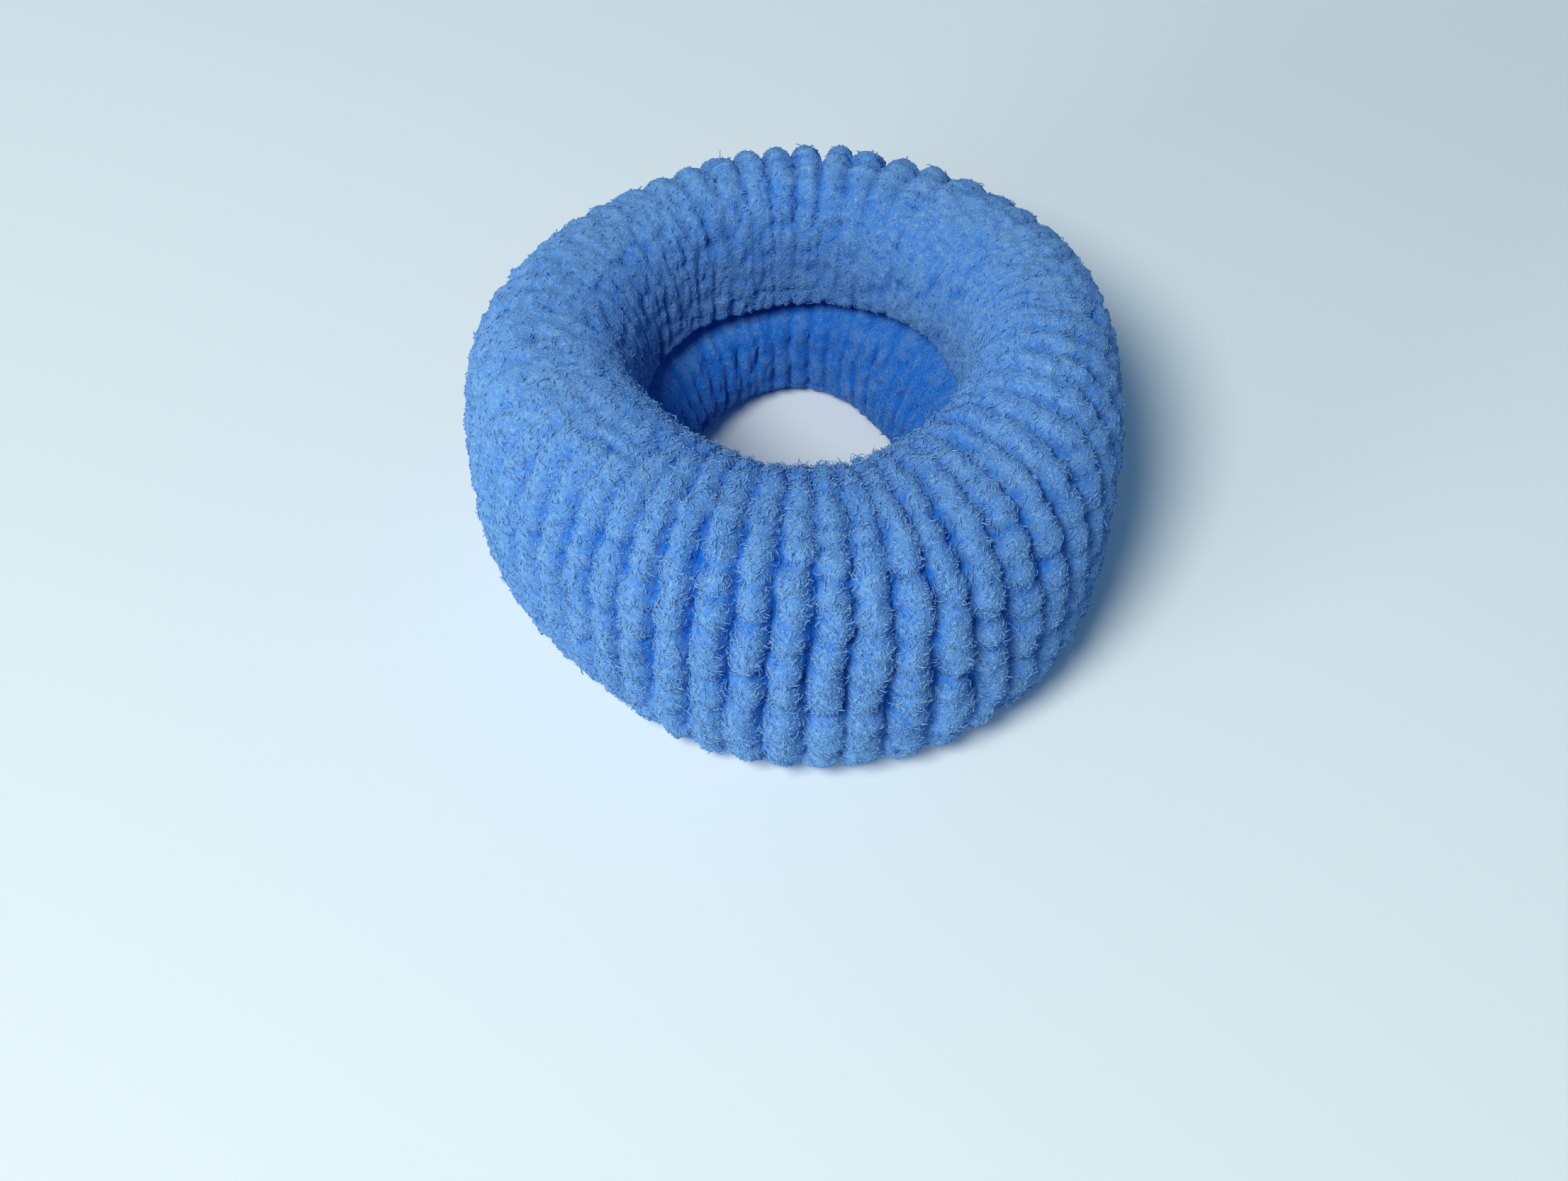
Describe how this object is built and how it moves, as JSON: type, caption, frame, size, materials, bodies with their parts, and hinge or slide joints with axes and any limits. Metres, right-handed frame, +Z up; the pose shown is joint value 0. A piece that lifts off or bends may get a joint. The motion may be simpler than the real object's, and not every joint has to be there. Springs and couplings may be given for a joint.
{
  "type": "elastic hair tie",
  "caption": "Thick soft ring of ribbed terry knit with an open hole, worn round a ponytail to hold it.",
  "frame": {"origin": "on the surface that the ring rests on, under the middle of its outline seen from above", "axes": "+Z up, along the axis of the hole; +X to the right and +Y away from a viewer at the picture's side"},
  "size_m": [0.0498, 0.0498, 0.0261],
  "materials": {
    "terry": "soft looped pile, matt"
  },
  "bodies": {
    "root": {"terry_ring": "terry"}
  },
  "joints": []
}
